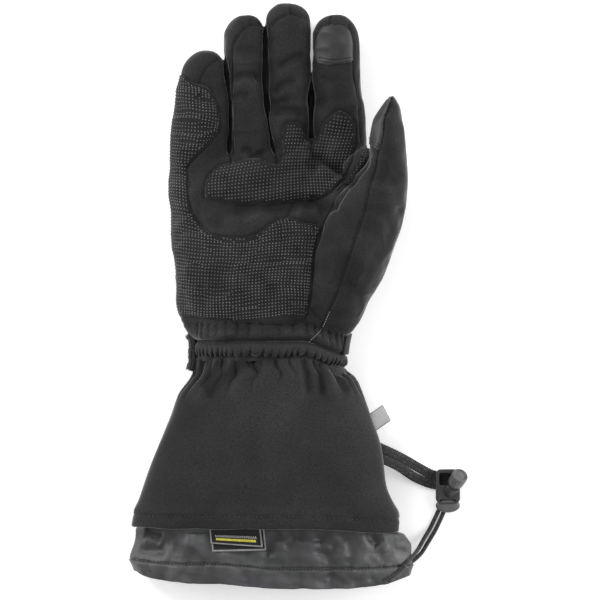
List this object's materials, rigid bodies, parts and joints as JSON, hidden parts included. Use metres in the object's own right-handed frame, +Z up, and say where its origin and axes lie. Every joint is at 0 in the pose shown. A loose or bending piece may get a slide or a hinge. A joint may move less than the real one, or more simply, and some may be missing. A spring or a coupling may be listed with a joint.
{
  "type": "heated glove",
  "caption": "Right-hand padded winter glove, palm up: dotted grip palm, gathered wrist, long flared cuff, thin nylon skirt with a drawcord and a spring cord lock",
  "frame": {"origin": "on the wrist seam line, in the middle of the wrist strap's flat underside, on the surface that the glove lies on", "axes": "+X to the thumb side, +Y to the fingertips, +Z up out of the palm; the glove lies on its back"},
  "size_m": [0.2181, 0.3756, 0.0617],
  "materials": {
    "shell": "matte black softshell",
    "grip": "black knit with raised grey silicone dots",
    "touch": "dark grey, smooth",
    "nylon": "thin grey nylon, slight sheen",
    "webbing": "black webbing",
    "pile": "black hook-and-loop pile",
    "label": "black woven label",
    "tab": "grey woven tab",
    "plastic": "dark grey moulded plastic",
    "braid": "black braided cord"
  },
  "bodies": {
    "glove": {"palm_body": "shell", "finger_little": "shell", "finger_ring": "shell", "finger_middle": "shell", "finger_index": "shell", "thumb": "shell", "cuff": "shell", "gaiter": "nylon", "grip_patch_palm": "grip", "grip_patch_knuckle": "grip", "grip_web": "grip", "touch_patch_index": "touch", "touch_patch_thumb": "touch", "wrist_strap": "webbing", "strap_pad": "pile", "size_label_back": "label", "size_label_front": "label", "side_tab": "tab", "gaiter_eyelet": "plastic", "cord_lock_body": "plastic", "pull_strand_lower": "braid", "pull_strand_upper": "braid", "drawcord_front": "braid", "drawcord_side": "braid"},
    "plunger": {"cord_lock_button": "plastic"}
  },
  "joints": [
    {"name": "plunger_press", "type": "slide", "parent": "glove", "child": "plunger", "axis": [-0.3346, -0.5795, -0.7431], "range_m": [0, 0.003], "stiffness_N_per_m": 300, "springref_m": -0.004}
  ]
}
